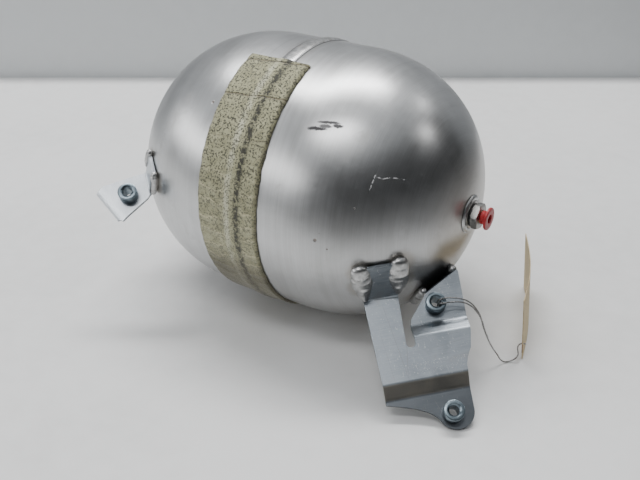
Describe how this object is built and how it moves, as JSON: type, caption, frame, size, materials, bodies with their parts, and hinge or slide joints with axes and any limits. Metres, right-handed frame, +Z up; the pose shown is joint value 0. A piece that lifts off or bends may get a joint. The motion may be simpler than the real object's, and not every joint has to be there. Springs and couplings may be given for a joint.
{
  "type": "compressed air reservoir",
  "caption": "Squat welded aluminium air reservoir with two welded mounting brackets, a push-in air port with a red plug, a felt strip and a wired-on tag.",
  "frame": {"origin": "on the resting surface, under the middle of the vessel and its brackets", "axes": "+X along the vessel to the air port, +Z up as it lies, -Y the side with both brackets"},
  "size_m": [0.3166, 0.2226, 0.2047],
  "materials": {
    "spun_aluminium": "satin, brushed round the axis",
    "sheet_aluminium": "satin rolled sheet",
    "weld_metal": "lumpy satin weld bead",
    "zinc_plate": "blue zinc plate",
    "plated_steel": "dull plated steel",
    "steel_wire": "bright drawn wire",
    "brass": "turned brass",
    "black_rubber": "matt",
    "red_plastic": "moulded",
    "felt": "speckled felt, soiled",
    "manila_card": "manila card",
    "fibre_patch": "red-brown fibre paper"
  },
  "bodies": {
    "reservoir": {"port_end_shell": "spun_aluminium", "plain_end_shell": "spun_aluminium", "girth_weld": "weld_metal", "felt_strip": "felt", "port_boss": "spun_aluminium", "port_boss_weld": "weld_metal", "fitting_gasket": "black_rubber", "hex_fitting": "plated_steel", "line_seal": "black_rubber", "long_bracket": "sheet_aluminium", "long_bracket_upper_bush": "zinc_plate", "long_bracket_lower_bush": "zinc_plate", "arm_weld_left": "weld_metal", "arm_weld_right": "weld_metal", "tab_weld_inner": "weld_metal", "tab_weld_outer": "weld_metal", "short_bracket": "sheet_aluminium", "short_bracket_bush": "zinc_plate", "short_weld_lower": "weld_metal", "short_weld_upper": "weld_metal", "tag_card": "manila_card", "tag_patch": "fibre_patch", "tag_wire": "steel_wire", "tag_wire_tail": "steel_wire"},
    "plug": {"transport_plug": "red_plastic"},
    "collet": {"release_collet": "brass"}
  },
  "joints": [
    {"name": "plug_pull", "type": "slide", "parent": "reservoir", "child": "plug", "axis": [1, 0, 0], "range_m": [0, 0.02]},
    {"name": "collet_press", "type": "slide", "parent": "reservoir", "child": "collet", "axis": [-1, 0, 0], "range_m": [0, 0.0008]}
  ]
}
